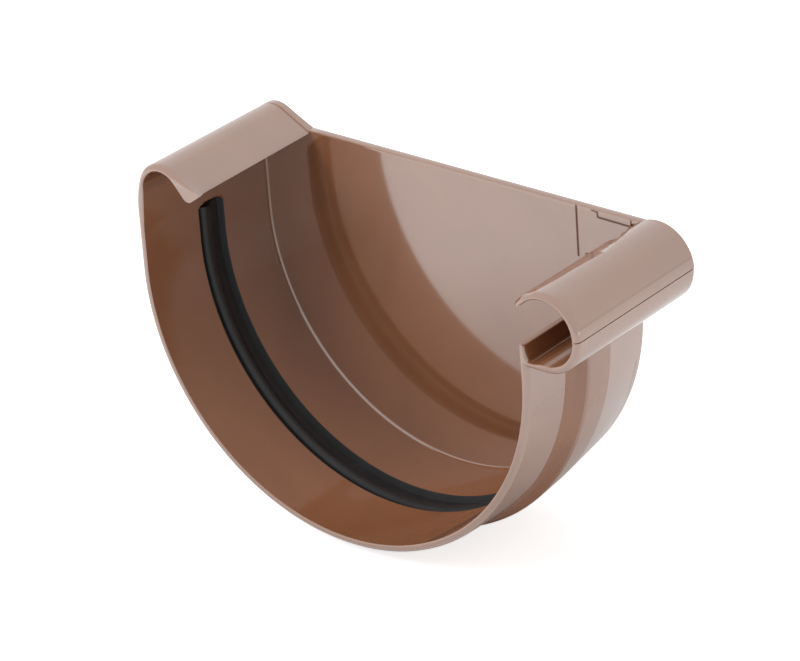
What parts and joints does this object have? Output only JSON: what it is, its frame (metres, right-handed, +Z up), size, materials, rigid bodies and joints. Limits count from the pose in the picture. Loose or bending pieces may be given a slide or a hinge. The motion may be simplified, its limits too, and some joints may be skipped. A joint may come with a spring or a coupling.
{
  "type": "gutter end cap",
  "caption": "Moulded plastic cap with a rubber seal that closes the end of a half-round roof gutter and clips over its front bead and back edge.",
  "frame": {"origin": "centre of the half-round bore, in the plane of the open mouth", "axes": "+Y along the gutter from the open mouth to the closed end, +Z up, +X to the front bead socket"},
  "size_m": [0.1501, 0.0502, 0.0988],
  "materials": {
    "cap_plastic": "smooth satin gloss, brown",
    "seal_rubber": "matt black"
  },
  "bodies": {
    "root": {"cap_body": "cap_plastic", "rubber_seal": "seal_rubber"}
  },
  "joints": []
}
